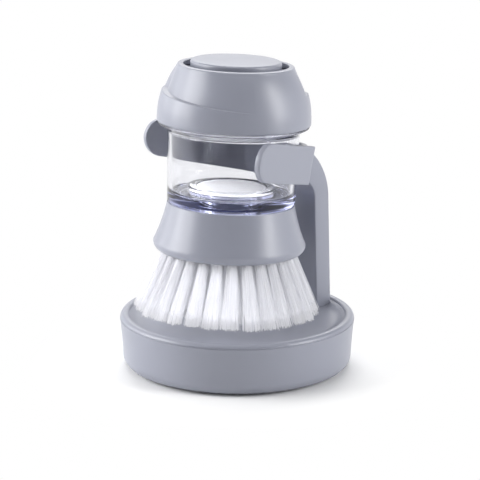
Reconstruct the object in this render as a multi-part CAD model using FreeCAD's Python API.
"""Palm dish brush with a soap reservoir, hanging in the cradle of its drip stand.

Lengths are in millimetres and angles in degrees. The origin lies on the worktop under the middle of
the tray, +Z is up, the post stands behind on +Y and the cradle is open to the front on -Y.
The brush is drawn upright on its own axis, where heights count from the worktop, and then leans back.
"""

import FreeCAD, Part
import math
import os

Vector = FreeCAD.Vector
UP = Vector(0, 0, 1)
SIDE = Vector(1, 0, 0)
CENTRE = Vector(0, 0, 0)
# Share of its radius by which the middle of a quarter round lies inside the corner it rounds
ROUND = 1 - math.sqrt(0.5)

# Fits between neighbouring pieces
running_gap = 0.3
snug_gap = 0.2
seal_gap = 0.1
tuft_gap = 0.08

# Tray: a shallow dish on a hollow drum that tucks under at its foot
tray_radius = 52.6
tray_foot_inset = 5.4
tray_height = 24.2
tray_wall = 2.2
tray_tuck_height = 4.6
tray_tuck_inset = 1.3
tray_bulge = 0.65
rim_round = 2.6
rim_roll = 1.0
dish_border = 7.6
dish_depth = 3.0
dish_slope = 3.4
rib_count = 8
rib_thickness = 1.6
rib_depth = 8.0
hub_radius = 11.0

# Soft feet let into bosses under the tray
foot_count = 4
foot_radius = 5.0
foot_stand_off = 0.8
foot_recess = 1.5
foot_chamfer = 0.5
foot_inset = 15.6
foot_boss_wall = 1.6
foot_boss_bore = 3.4

# Brush: how it hangs, and its lengths from the tips up
brush_lean = 2.57
tip_gap = 2.8
bristle_length = 26.8
lip_recess = 2.2
head_height = 21.5
reservoir_height = 32.2
collar_height = 3.6
cap_height = 25.7
button_proud = 2.4

# Clear reservoir
reservoir_foot_radius = 28.3
reservoir_top_radius = 29.3
reservoir_wall = 2.0
reservoir_floor = 4.4
reservoir_edge_round = 0.8
collar_reach = 4.1
collar_edge = 0.6
neck_inset = 0.7
neck_height = 7.2
spigot_inset = 3.3
spigot_wall = 2.4
lug_count = 3
lug_sweep = 40.0
lug_height = 2.0
lug_reach = 1.6
lug_lift = 2.5

# Outlet valve in the reservoir's floor
valve_radius = 18.4
valve_disc = 1.0
valve_boss_height = 1.6
valve_stem_inset = 9.6
valve_stem_length = 2.5
valve_skin = 1.4
valve_slit = 0.3
valve_slit_length = 10.0
valve_ring_wall = 1.2
valve_ring_lip = 0.6
valve_ring_reach = 3.2

# Brush head: flared skirt, seal and tuft plate
skirt_flare = 5.5
skirt_waist_flare = 1.8
skirt_waist_height = 13.8
skirt_wall = 2.2
lip_roll_width = 2.4
lip_roll_height = 3.8
lip_width = 1.1
lip_chamfer = 0.7
plate_thickness = 5.3
outlet_radius = 1.9
soap_gap = 1.4
seal_thickness = 1.6
seal_shelf = 1.5
seal_land = 2.2

# Tufts: three rings that splay outwards, each tip with its half width outwards
outer_tuft_count = 28
middle_tuft_count = 20
inner_tuft_count = 12
tuft_edge_margin = 3.9
tuft_ring_pitch = 7.2
outer_splay = 12.7
middle_splay = 9.8
inner_splay = 6.4
outer_tip_depth = 2.4
middle_tip_depth = 3.0
inner_tip_depth = 3.2
tuft_tip_gap = 1.0
tuft_root_radius = 2.05
tuft_hole_depth = 3.6
tuft_sides = 8

# Cap shell with its two sloping finger ledges
cap_overhang = 0.6
cap_draw_in = 8.5
cap_shoulder_power = 2.5
cap_edge_round = 0.8
cap_skirt_wall = 1.9
cap_rim = 2.4
cap_rim_width = 2.4
cap_deck_land = 1.0
cap_recess_wall = 1.5
ledge_height = 14.1
ledge_drop = 4.8
ledge_inset = 4.6
ledge_start = -148.0
ledge_sweep = 122.0
ledge_rise = 0.14
ledge_count = 2
ledge_sections = 9

# Cap liner with the bayonet, gasket and air pump
liner_wall = 1.6
liner_deck = 1.8
liner_deck_inset = 2.3
liner_stop_sweep = 4.0
gasket_width = 1.8
gasket_thickness = 1.5
bellows_radius = 15.6
bellows_skin = 1.2
bellows_flange_width = 4.0
bellows_flange = 1.2
bellows_fold = 2.8
bellows_folded_height = 6.0
bellows_crown_radius = 9.0
clamp_ring_wall = 1.3
clamp_ring_thickness = 1.6

# Push button
button_groove = 3.0
button_travel = 4.0
button_dome = 0.5
button_edge_round = 1.4
button_wall = 1.8
button_flange_reach = 4.4
button_flange = 1.7
button_boss_radius = 5.5
button_rib_count = 4
button_rib = 1.4

# Cradle: two flared arms on a back wall, tipped up towards the front
seat_gap = 0.4
cradle_tilt = 12.6
cradle_drop = 1.1
arm_flare = 15.7
arm_height = 17.2
arm_thickness = 2.8
arm_tail = 15.2
arm_reach = 20.6
arm_edge_round = 0.5
cradle_back_wall = 2.6

# Post behind the cradle and the bristles, set in from the tray's rim
post_width = 26.0
post_thickness = 8.8
post_gap = 6.767
post_bristle_gap = 0.9
post_rim_gap = 6.860
post_lean = 2.0
post_edge_round = 0.6
arch_radius = 30.0
arch_drop = 1.6
crook_radius = 10.0
tenon_floor = 6.0
socket_wall = 2.2
socket_floor = 2.0

# Screws that hold the post down in its socket
screw_count = 2
screw_spacing = 15.0
screw_radius = 1.45
screw_head_radius = 3.0
screw_head = 2.0
screw_length = 13.0
screw_hole_gap = 0.25
screw_bite = 0.05

# Radii that follow from the tray's
tray_foot_radius = tray_radius - tray_foot_inset
tray_tuck_radius = tray_radius - tray_tuck_inset
dish_floor_radius = tray_radius - dish_border
dish_floor = tray_height - dish_depth
foot_circle_radius = tray_radius - foot_inset

# Stations along the brush, from the trimmed tips to the button
bristle_tip_station = tray_height + tip_gap
head_lip_station = bristle_tip_station + bristle_length
plate_face_station = head_lip_station + lip_recess
skirt_station = head_lip_station + lip_roll_height
skirt_waist_station = head_lip_station + skirt_waist_height
reservoir_foot_station = head_lip_station + head_height
reservoir_floor_station = reservoir_foot_station + reservoir_floor
valve_seat_station = reservoir_floor_station + valve_boss_height
valve_top_station = valve_seat_station + valve_disc
collar_station = reservoir_foot_station + reservoir_height
cap_foot_station = collar_station + collar_height
ledge_station = cap_foot_station + ledge_height
cap_top_station = cap_foot_station + cap_height
button_top_station = cap_top_station + button_proud

# Radii that follow from the reservoir's
spigot_radius = reservoir_foot_radius - spigot_inset
seal_stack = seal_thickness + seal_shelf + skirt_wall
spigot_length = head_height - lip_recess - plate_thickness - soap_gap - seal_stack
skirt_radius = reservoir_foot_radius + skirt_flare
skirt_waist_radius = reservoir_foot_radius + skirt_waist_flare
lip_radius = skirt_radius - lip_roll_width
plate_radius = lip_radius - lip_width
collar_radius = reservoir_top_radius + collar_reach
neck_radius = reservoir_top_radius - neck_inset
valve_stem_radius = valve_radius - valve_stem_inset
cap_foot_radius = collar_radius + cap_overhang
cap_top_radius = cap_foot_radius - cap_draw_in
cap_mouth_radius = cap_top_radius - cap_rim_width
ledge_radius = cap_foot_radius - ledge_inset
button_radius = cap_mouth_radius - button_groove
bellows_height = bellows_folded_height + button_travel

# Tufts: ring name, count, root radius, tip radius, tip half width outwards
outer_root = plate_radius - tuft_edge_margin
middle_root = outer_root - tuft_ring_pitch
inner_root = middle_root - tuft_ring_pitch
tuft_rings = {
    "outer_tufts": (outer_tuft_count, outer_root, outer_root + outer_splay, outer_tip_depth),
    "middle_tufts": (middle_tuft_count, middle_root, middle_root + middle_splay, middle_tip_depth),
    "inner_tufts": (inner_tuft_count, inner_root, inner_root + inner_splay, inner_tip_depth),
}


def point(r, z):
    return Vector(r, 0, z)


def outline(start, *steps):
    """Closed face in the XZ plane: a step of two numbers is a line, one of four an arc by a middle point."""
    edges = []
    here = point(*start)
    for step in steps:
        there = point(*step[-2:])
        if len(step) == 4:
            edges.append(Part.Arc(here, point(*step[:2]), there).toShape())
        else:
            edges.append(Part.makeLine(here, there))
        here = there
    edges.append(Part.makeLine(here, point(*start)))
    return Part.Face(Part.Wire(edges))


def turned(start, *steps):
    return outline(start, *steps).revolve(CENTRE, UP, 360)


def ring(inner, outer, low, high, start=0.0, sweep=360.0):
    """Ring of rectangular section, or a sector of one that begins at the start angle."""
    section = outline((inner, low), (outer, low), (outer, high), (inner, high))
    piece = section.revolve(CENTRE, UP, sweep)
    piece.rotate(CENTRE, UP, start)
    return piece


def rod(radius, low, high, x=0.0, y=0.0):
    return Part.makeCylinder(radius, high - low, Vector(x, y, low))


def block(width, depth, low, high, x=0.0, y=0.0):
    return Part.makeBox(width, depth, high - low, Vector(x - width / 2, y - depth / 2, low))


def around(shape, count, start=0.0):
    """Copies of a shape spread evenly round the Z axis."""
    copies = []
    for k in range(count):
        copy = shape.copy()
        copy.rotate(CENTRE, UP, start + 360.0 * k / count)
        copies.append(copy)
    return copies


def rounded(solid, radius, wanted):
    """Rounds those edges of a solid that the test picks."""
    return solid.makeFillet(radius, [edge for edge in solid.Edges if wanted(edge)])


def reservoir_radius(station):
    """Outer radius of the slightly tapered reservoir at a station."""
    share = (station - reservoir_foot_station) / (collar_station - reservoir_foot_station)
    return reservoir_foot_radius + (reservoir_top_radius - reservoir_foot_radius) * share


# Where the post, the cradle and the brush stand
lean = math.radians(brush_lean)
cradle_station = collar_station - arm_height / 2 - cradle_drop
seat_radius = reservoir_radius(cradle_station) + seat_gap
seat_reach = (seat_radius + cradle_back_wall) * math.cos(math.radians(cradle_tilt))
tip_forward = (cradle_station - bristle_tip_station) * math.sin(lean)
tip_reach = (outer_root + outer_splay + outer_tip_depth) * math.cos(lean) - tip_forward
post_inner = tray_radius - post_rim_gap - post_lean - post_thickness
post_middle = post_inner + post_lean + post_thickness / 2
cradle_y = post_inner - max(seat_reach + post_gap, tip_reach + post_bristle_gap - post_lean)
brush_setback = cradle_station * math.sin(lean) - cradle_y
brush_place = FreeCAD.Placement(Vector(0, -brush_setback, 0), FreeCAD.Rotation(SIDE, -brush_lean))
cradle_middle = brush_place.multVec(Vector(0, 0, cradle_station))
cradle_place = FreeCAD.Placement(cradle_middle, FreeCAD.Rotation(SIDE, -cradle_tilt))
back_top = cradle_place.multVec(Vector(0, seat_radius, arm_height / 2))
back_foot = cradle_place.multVec(Vector(0, seat_radius, -arm_height / 2))


def tray():
    """Hollow drum with a rolled rim and a shallow dish, ribbed below, with a socket for the post."""
    foot = foot_stand_off
    rim = tray_radius - rim_round
    rim_inner = rim - dish_floor_radius - dish_slope
    tray_tuck = tray_tuck_radius - tray_foot_radius
    tuck_top = foot + tray_tuck_height
    envelope = turned(
        (0, foot),
        (tray_foot_radius, foot),
        (tray_tuck_radius - ROUND * tray_tuck, foot + ROUND * tray_tuck_height, tray_tuck_radius, tuck_top),
        (tray_radius - tray_bulge, (tuck_top + tray_height) / 2, tray_radius, tray_height - rim_round),
        (tray_radius - ROUND * rim_round, tray_height - ROUND * rim_round, rim, tray_height),
        (rim - 0.6 * rim_inner, tray_height - 0.2 * rim_roll, rim - rim_inner, tray_height - rim_roll),
        (dish_floor_radius, dish_floor),
        (0, dish_floor),
    )
    wall = tray_wall
    hollow = turned(
        (0, foot - 1),
        (tray_foot_radius - wall, foot - 1),
        (tray_foot_radius - wall, foot),
        (tray_tuck_radius - wall, tuck_top),
        (tray_radius - wall, tray_height - rim_round),
        (rim, tray_height - wall),
        (rim - rim_inner, tray_height - rim_roll - wall),
        (dish_floor_radius - ROUND * wall, dish_floor - wall),
        (0, dish_floor - wall),
    )
    rib_low = dish_floor - wall - rib_depth
    rib_corner = Vector(0, -rib_thickness / 2, rib_low)
    rib = Part.makeBox(tray_radius, rib_thickness, dish_floor - rib_low, rib_corner)
    stiffeners = around(rib, rib_count, 180.0 / rib_count)
    stiffeners.append(ring(hub_radius - rib_thickness, hub_radius, rib_low, dish_floor))
    boss_radius = foot_radius + snug_gap + foot_boss_wall
    boss = rod(boss_radius, foot, dish_floor, foot_circle_radius)
    stiffeners += around(boss, foot_count, 180.0 / foot_count)
    socket_width = post_width + 2 * (snug_gap + socket_wall)
    socket_depth = post_thickness + 2 * (snug_gap + socket_wall)
    socket_low = tenon_floor - socket_floor
    stiffeners.append(block(socket_width, socket_depth, socket_low, dish_floor, 0, post_middle))
    inside = envelope.common(stiffeners[0].fuse(stiffeners[1:]))
    body = envelope.cut(hollow).fuse(inside)
    recess = rod(foot_radius + snug_gap, foot - 1, foot + foot_recess, foot_circle_radius)
    bore = rod(foot_boss_bore, foot - 1, dish_floor - wall, foot_circle_radius)
    cuts = around(recess.fuse(bore), foot_count, 180.0 / foot_count)
    pocket_width = post_width + 2 * snug_gap
    pocket_depth = post_thickness + 2 * snug_gap
    cuts.append(block(pocket_width, pocket_depth, tenon_floor, tray_height + 1, 0, post_middle))
    for x in screw_places():
        cuts.append(rod(screw_radius + screw_hole_gap, 0, tenon_floor + 1, x, post_middle))
        cuts.append(rod(screw_head_radius + screw_hole_gap, 0, socket_low, x, post_middle))
    return body.cut(cuts[0].fuse(cuts[1:])).removeSplitter()


def screw_places():
    return [screw_spacing * (k - (screw_count - 1) / 2) for k in range(screw_count)]


def feet():
    foot = turned(
        (0, 0),
        (foot_radius - foot_chamfer, 0),
        (foot_radius, foot_chamfer),
        (foot_radius, foot_stand_off + foot_recess),
        (0, foot_stand_off + foot_recess),
    )
    foot.translate(Vector(foot_circle_radius, 0, 0))
    return Part.makeCompound(around(foot, foot_count, 180.0 / foot_count))


def screws():
    """Round-headed screws that come up through the socket's floor."""
    seat = tenon_floor - socket_floor
    screw = turned(
        (0, seat - screw_head),
        (0.6 * screw_head_radius, seat - screw_head),
        (screw_head_radius, seat - 0.4 * screw_head),
        (screw_head_radius, seat),
        (screw_radius, seat),
        (screw_radius, seat + screw_length - screw_radius),
        (0, seat + screw_length),
    )
    copies = []
    for x in screw_places():
        copy = screw.copy()
        copy.translate(Vector(x, post_middle, 0))
        copies.append(copy)
    return Part.makeCompound(copies)


def cradle_arm():
    """Straight arm with a round end, along the tangent of the seat on the +X side."""
    half = arm_height / 2
    face = outline(
        (-arm_tail, -half),
        (arm_reach, -half),
        (arm_reach + half, 0, arm_reach, half),
        (-arm_tail, half),
    )
    arm = face.extrude(Vector(0, arm_thickness, 0))
    flat = 0.01
    arm = rounded(arm, arm_edge_round, lambda edge: edge.BoundBox.YLength < flat)
    arm.rotate(CENTRE, UP, arm_flare - 90)
    outward = Vector(math.cos(math.radians(arm_flare)), math.sin(math.radians(arm_flare)), 0)
    arm.translate(outward * seat_radius)
    return arm


def post():
    """Upright with its top arched forward over a crook, drawn from the side and given its width."""
    outer = post_inner + post_thickness
    low_inner = post_inner + post_lean
    low_outer = outer + post_lean
    front = back_foot.y - cradle_back_wall
    arch_y = outer - arch_radius
    wall_angle = math.acos((back_top.y - arch_y) / arch_radius)
    arch_z = back_top.z - arch_drop - arch_radius * math.sin(wall_angle)
    front_angle = math.acos((front - arch_y) / arch_radius)
    arch = [(arch_y + arch_radius * math.cos(a), arch_z + arch_radius * math.sin(a))
            for a in (front_angle, front_angle / 2)]
    crook_y = post_inner - crook_radius
    crook_z = back_foot.z - crook_radius
    crook_bend = (1 - ROUND) * crook_radius
    side = outline(
        (low_inner, tenon_floor),
        (low_inner, tray_height),
        (post_inner, crook_z),
        (crook_y + crook_bend, crook_z + crook_bend, crook_y, back_foot.z),
        (front, back_foot.z),
        arch[0],
        (*arch[1], outer, arch_z),
        (low_outer, tray_height),
        (low_outer, tenon_floor),
    )
    side.rotate(CENTRE, UP, 90)
    upright = side.extrude(Vector(-post_width, 0, 0))
    upright.translate(Vector(post_width / 2, 0, 0))
    flat = 0.01
    return rounded(
        upright,
        post_edge_round,
        lambda edge: edge.BoundBox.XLength < flat and edge.CenterOfMass.z > tray_height,
    )


def upright():
    """Post, back wall and arms as one moulding, cut clear of the reservoir that hangs in it."""
    half = arm_height / 2
    back = ring(seat_radius, seat_radius + cradle_back_wall, -half, half, arm_flare, 180 - 2 * arm_flare)
    right = cradle_arm()
    left = right.mirror(CENTRE, SIDE)
    cradle = back.fuse([right, left])
    cradle.Placement = cradle_place
    clear_low = collar_station - 2 * arm_height
    room = Part.makeCone(
        reservoir_radius(clear_low) + seat_gap,
        reservoir_top_radius + seat_gap,
        collar_station - clear_low,
        Vector(0, 0, clear_low),
    )
    room.Placement = brush_place
    pilot_top = tenon_floor + screw_length
    pilots = [rod(screw_radius + screw_bite, 0, pilot_top, x, post_middle) for x in screw_places()]
    return cradle.fuse(post()).cut([room] + pilots).removeSplitter()


def reservoir():
    """Clear cup with a boss for the valve, a spigot for the head, a flared collar and a bayonet neck."""
    foot = reservoir_foot_station
    floor = reservoir_floor_station
    wall = reservoir_wall
    inner_foot = reservoir_foot_radius - wall
    collar_top = cap_foot_station - running_gap
    collar_low = collar_top - collar_edge
    lip = collar_top + neck_height
    flare = 0.35 * (collar_radius - reservoir_top_radius)
    body = turned(
        (valve_stem_radius + snug_gap, foot),
        (spigot_radius - spigot_wall, foot),
        (spigot_radius - spigot_wall, foot - spigot_length),
        (spigot_radius, foot - spigot_length),
        (spigot_radius, foot),
        (reservoir_foot_radius - reservoir_edge_round, foot),
        (reservoir_foot_radius - ROUND * reservoir_edge_round, foot + ROUND * reservoir_edge_round,
         reservoir_foot_radius, foot + reservoir_edge_round),
        (reservoir_top_radius, collar_station),
        (reservoir_top_radius + flare, 0.45 * collar_station + 0.55 * collar_low, collar_radius, collar_low),
        (collar_radius, collar_top),
        (neck_radius, collar_top),
        (neck_radius, lip),
        (neck_radius - wall, lip),
        (neck_radius - wall, collar_top),
        (reservoir_top_radius - wall, collar_station),
        (inner_foot, floor + wall),
        (inner_foot - ROUND * wall, floor + ROUND * wall, inner_foot - wall, floor),
        (valve_radius, floor),
        (valve_radius, valve_seat_station),
        (valve_stem_radius + snug_gap, valve_seat_station),
    )
    lug_low = collar_top + lug_lift
    lug_top = lug_low + lug_height
    lug = ring(neck_radius - wall / 2, neck_radius + lug_reach, lug_low, lug_top, -lug_sweep / 2, lug_sweep)
    return body.fuse(around(lug, lug_count)).removeSplitter()


def valve():
    """Soft disc on the boss that opens by a slit, with a short hollow stem that leads the soap down."""
    seat = valve_seat_station
    top = valve_top_station
    under = top - valve_skin
    end = seat - valve_stem_length
    bore = valve_stem_radius - valve_skin
    body = turned(
        (0, under),
        (bore, under),
        (bore, end),
        (valve_stem_radius, end),
        (valve_stem_radius, seat),
        (valve_radius, seat),
        (valve_radius, top),
        (0, top),
    )
    return body.cut(block(valve_slit_length, valve_slit, under - 1, top + 1))


def valve_ring():
    """Clear ring, welded to the floor round the boss, that laps over the valve's edge."""
    floor = reservoir_floor_station
    top = valve_top_station
    inner = valve_radius + seal_gap
    outer = inner + valve_ring_wall
    lap = valve_radius - valve_ring_reach
    return turned(
        (inner, floor),
        (outer, floor),
        (outer, top + 0.4 * valve_ring_lip),
        (outer - 0.6 * valve_ring_lip, top + valve_ring_lip),
        (lap, top + valve_ring_lip),
        (lap, top),
        (inner, top),
    )


def head():
    """Flared skirt that plugs on to the spigot and rolls under to a lip round the tufts."""
    top = reservoir_foot_station - snug_gap
    seal_top = reservoir_foot_station - spigot_length
    shelf = seal_top - seal_thickness
    shelf_low = shelf - seal_shelf
    plate_top = plate_face_station + plate_thickness
    pocket = plate_radius + snug_gap
    socket = spigot_radius + snug_gap
    inner = pocket - skirt_wall + snug_gap
    return turned(
        (reservoir_foot_radius, top),
        (skirt_waist_radius, skirt_waist_station, skirt_radius, skirt_station),
        (skirt_radius - ROUND * lip_roll_width, head_lip_station + ROUND * lip_roll_height,
         lip_radius, head_lip_station),
        (pocket, head_lip_station + lip_chamfer),
        (pocket, plate_top),
        (inner, plate_top),
        (inner, shelf_low - skirt_wall),
        (socket, shelf_low),
        (socket - seal_land - snug_gap, shelf_low),
        (socket - seal_land - snug_gap, shelf),
        (socket, shelf),
        (socket, top),
    )


def head_seal():
    high = reservoir_foot_station - spigot_length
    return ring(spigot_radius - seal_land, spigot_radius, high - seal_thickness, high)


def tuft_section(radius, outward, across, station):
    """Flat polygon of one tuft on the +X side, with its half widths outwards and around."""
    corners = []
    for k in range(tuft_sides):
        angle = 2 * math.pi * (k + 0.5) / tuft_sides
        corners.append(Vector(radius + outward * math.cos(angle), across * math.sin(angle), station))
    return Part.makePolygon(corners + corners[:1])


def tuft_stations(root, tip):
    """Radii of a tuft's centre at the bottom of its hole and at the plate's face, on one slanting line."""
    slope = (tip - root) / (plate_face_station - bristle_tip_station)
    return root - slope * tuft_hole_depth, root


def tuft_plate():
    """Disc with a soap outlet and a slanting blind hole for every tuft."""
    face = plate_face_station
    back = face + plate_thickness
    plate = rod(plate_radius, face, back).cut(rod(outlet_radius, face - 1, back + 1))
    holes = []
    for count, root, tip, outward in tuft_rings.values():
        deep, mouth = tuft_stations(root, tip)
        below = mouth + (mouth - deep)
        ends = []
        for radius, station in ((deep, face + tuft_hole_depth), (below, face - tuft_hole_depth)):
            rim = Part.makeCircle(tuft_root_radius + tuft_gap, Vector(radius, 0, station), UP)
            ends.append(Part.Wire(rim))
        holes += around(Part.makeLoft(ends, True, True), count)
    return plate.cut(holes)


def tufts(count, root, tip, outward):
    """Ring of separate tufts, straight in their holes and spreading to the trimmed tips."""
    across = math.pi * tip / count - tuft_tip_gap / 2
    deep, mouth = tuft_stations(root, tip)
    sections = [
        tuft_section(deep, tuft_root_radius, tuft_root_radius, plate_face_station + tuft_hole_depth),
        tuft_section(mouth, tuft_root_radius, tuft_root_radius, plate_face_station),
        tuft_section(tip, outward, across, bristle_tip_station),
    ]
    return Part.makeCompound(around(Part.makeLoft(sections, True, True), count))


def cap_radius(station):
    """Outer radius of the cap: wide at its foot, drawn in over a rounded shoulder."""
    share = (station - cap_foot_station) / (cap_top_station - cap_foot_station)
    return cap_top_radius + (cap_foot_radius - cap_top_radius) * (1 - max(share, 0.0) ** cap_shoulder_power)


def recess_radius(station):
    """Straight flank above the deepest stretch of a finger ledge."""
    share = (station - ledge_station) / (cap_top_station - ledge_station)
    return ledge_radius + (cap_top_radius - ledge_radius) * share


def curve(points):
    spline = Part.BSplineCurve()
    spline.interpolate(points)
    return spline.toShape()


def ledge_cut():
    """Crescent taken off the shoulder: its lower edge slopes down and its depth fades out at both ends."""
    outside = cap_foot_radius + 5
    above = cap_top_station + 2
    proud = 0.4
    sections = []
    for k in range(ledge_sections):
        along = k / (ledge_sections - 1)
        past = max(along - ledge_rise, 0.0) / (1 - ledge_rise)
        depth = min(along / ledge_rise, 1 - past ** 1.5)
        low = ledge_station - ledge_drop * past
        flank = []
        for share in (0.0, 0.33, 0.67, 1.0):
            station = low + (above - low) * share
            skin = cap_radius(station) + proud
            flank.append(point(skin + (recess_radius(station) - skin) * depth, station))
        corners = [flank[-1], point(outside, above), point(outside, low), flank[0]]
        edges = [curve(flank)]
        edges += [Part.makeLine(a, b) for a, b in zip(corners, corners[1:])]
        wire = Part.Wire(edges)
        wire.rotate(CENTRE, UP, ledge_start + ledge_sweep * along)
        sections.append(wire)
    return Part.makeLoft(sections, True, False)


def cap_shell():
    """Domed shell with an open mouth for the button and two finger ledges sweeping round its shoulder."""
    foot = cap_foot_station
    top = cap_top_station
    edge = cap_edge_round
    rise = top - foot
    stations = [foot + edge + (rise - 2 * edge) * share for share in (0.0, 0.2, 0.4, 0.6, 0.8, 1.0)]
    flank = [point(cap_radius(station), station) for station in stations]
    deck = liner_top()
    skirt = cap_foot_radius - cap_skirt_wall
    step = liner_deck_radius() + snug_gap
    land = step - snug_gap - cap_deck_land
    recess_foot = recess_radius(ledge_station) - cap_recess_wall
    throat = recess_radius(top - cap_rim) - cap_recess_wall
    mouth = cap_mouth_radius
    inner = [
        (mouth + edge / 2, top),
        (mouth, top - edge / 2),
        (mouth, top - cap_rim),
        (throat, top - cap_rim),
        (min(recess_foot, land), ledge_station),
        (land, deck),
        (step, deck),
        (skirt, deck - (skirt - step) * 2),
        (skirt, foot),
        (cap_foot_radius - edge, foot),
    ]
    edges = [curve(flank)]
    crown = point(cap_radius(top - edge) - 1.6 * edge, top)
    bend = point(cap_radius(top - edge) - 0.5 * edge, top - 0.25 * edge)
    edges.append(Part.Arc(flank[-1], bend, crown).toShape())
    corners = [crown] + [point(*pair) for pair in inner]
    edges += [Part.makeLine(a, b) for a, b in zip(corners, corners[1:])]
    heel = point(cap_foot_radius - ROUND * edge, foot + ROUND * edge)
    edges.append(Part.Arc(corners[-1], heel, flank[0]).toShape())
    body = Part.Face(Part.Wire(edges)).revolve(CENTRE, UP, 360)
    return body.cut(around(ledge_cut(), ledge_count))


def liner_top():
    """Station of the top of the liner's deck."""
    return liner_deck_low() + liner_deck


def liner_deck_low():
    lip = cap_foot_station - running_gap + neck_height
    return lip + seal_gap + gasket_thickness


def liner_deck_radius():
    """The deck is a little smaller than the bayonet skirt, to fit under the cap's shoulder."""
    return cap_foot_radius - cap_skirt_wall - snug_gap - liner_deck_inset


def cap_liner():
    """Cup that holds the bayonet tracks below its deck and the pump above it."""
    skirt = cap_foot_radius - cap_skirt_wall - snug_gap
    groove = neck_radius + lug_reach + running_gap
    bead = neck_radius + running_gap
    low = cap_foot_station + 2 * snug_gap
    flange_top = cap_foot_station - running_gap + lug_lift - running_gap
    deck_low = liner_deck_low()
    deck = liner_top()
    body = turned(
        (groove, low),
        (skirt, low),
        (skirt, deck - 2 * (skirt - liner_deck_radius())),
        (liner_deck_radius(), deck),
        (bellows_radius - bellows_skin, deck),
        (bellows_radius - bellows_skin, deck_low),
        (groove, deck_low),
    )
    pitch = 360.0 / lug_count
    keep = pitch / 2
    track = ring(bead, groove + liner_wall / 2, low, flange_top, -keep / 2, keep)
    stop_start = lug_sweep / 2 + liner_stop_sweep / 2
    stop = ring(bead, groove + liner_wall / 2, low, flange_top + lug_height, stop_start, liner_stop_sweep)
    return body.fuse(around(track.fuse(stop), lug_count)).removeSplitter()


def cap_gasket():
    high = liner_deck_low()
    outer = neck_radius
    return ring(outer - gasket_width, outer, high - gasket_thickness, high)


def bellows():
    """Soft folded dome: pressing it drives air down on the soap, and it springs back."""
    foot = liner_top()
    flange = foot + bellows_flange
    crown = foot + bellows_height
    rise = (crown - flange) / 5
    wide = bellows_radius
    narrow = bellows_radius - bellows_fold
    skin = bellows_skin
    return turned(
        (0, crown),
        (bellows_crown_radius, crown),
        (narrow, crown - rise),
        (narrow - skin / 2, crown - 2 * rise),
        (wide - skin / 2, crown - 3 * rise),
        (narrow, crown - 4 * rise),
        (wide, flange),
        (wide + bellows_flange_width, flange),
        (wide + bellows_flange_width, foot),
        (wide - skin, foot),
        (wide - skin, foot + skin / 3),
        (narrow - skin, crown - 4 * rise),
        (wide - 1.7 * skin, crown - 3 * rise),
        (narrow - 1.7 * skin, crown - 2 * rise),
        (narrow - skin, crown - rise - skin / 3),
        (bellows_crown_radius - skin / 2, crown - skin),
        (0, crown - skin),
    )


def clamp_ring():
    """Ring that clamps the bellows' flange down on the liner's deck."""
    foot = liner_top()
    flange = foot + bellows_flange
    rim = bellows_radius + bellows_flange_width + snug_gap
    return turned(
        (bellows_radius + running_gap, flange),
        (rim, flange),
        (rim, foot),
        (rim + clamp_ring_wall, foot),
        (rim + clamp_ring_wall, flange + clamp_ring_thickness),
        (bellows_radius + running_gap, flange + clamp_ring_thickness),
    )


def button():
    """Low dome on a guide skirt, held in by a flange under the cap's rim, with a boss on the bellows."""
    edge_top = button_top_station - button_dome
    soffit = edge_top - button_wall
    flange_top = cap_top_station - cap_rim - running_gap
    flange_low = flange_top - button_flange
    boss_low = liner_top() + bellows_height + running_gap
    inner = button_radius - button_wall
    bend = button_edge_round
    body = turned(
        (0, button_top_station),
        ((button_radius - bend) / 2, button_top_station - button_dome / 4, button_radius - bend, edge_top),
        (button_radius - ROUND * bend, edge_top - ROUND * bend, button_radius, edge_top - bend),
        (button_radius, flange_top),
        (button_radius + button_flange_reach, flange_top),
        (button_radius + button_flange_reach, flange_low),
        (inner, flange_low),
        (inner, soffit),
        (button_boss_radius, soffit),
        (button_boss_radius, boss_low),
        (0, boss_low),
    )
    rib = Part.makeBox(inner - button_boss_radius + 2, button_rib, soffit - flange_low,
                       Vector(button_boss_radius - 1, -button_rib / 2, flange_low))
    return body.fuse(around(rib, button_rib_count)).removeSplitter()


def main():
    stand = {"tray": tray(), "upright": upright(), "upright_screws": screws(), "tray_feet": feet()}
    brush = {
        "reservoir": reservoir(),
        "valve": valve(),
        "valve_ring": valve_ring(),
        "brush_head": head(),
        "head_seal": head_seal(),
        "tuft_plate": tuft_plate(),
        "cap_shell": cap_shell(),
        "cap_liner": cap_liner(),
        "cap_gasket": cap_gasket(),
        "pump_bellows": bellows(),
        "clamp_ring": clamp_ring(),
        "push_button": button(),
    }
    brush.update({name: tufts(*sizes) for name, sizes in tuft_rings.items()})
    for shape in brush.values():
        shape.Placement = brush_place.multiply(shape.Placement)
    os.makedirs("parts", exist_ok=True)
    for name, shape in {**stand, **brush}.items():
        shape.exportStep("parts/" + name + ".step")
        state = "valid" if shape.isValid() else "not valid"
        print(name, len(shape.Solids), "solids,", round(shape.Volume), "mm3,", state)


main()
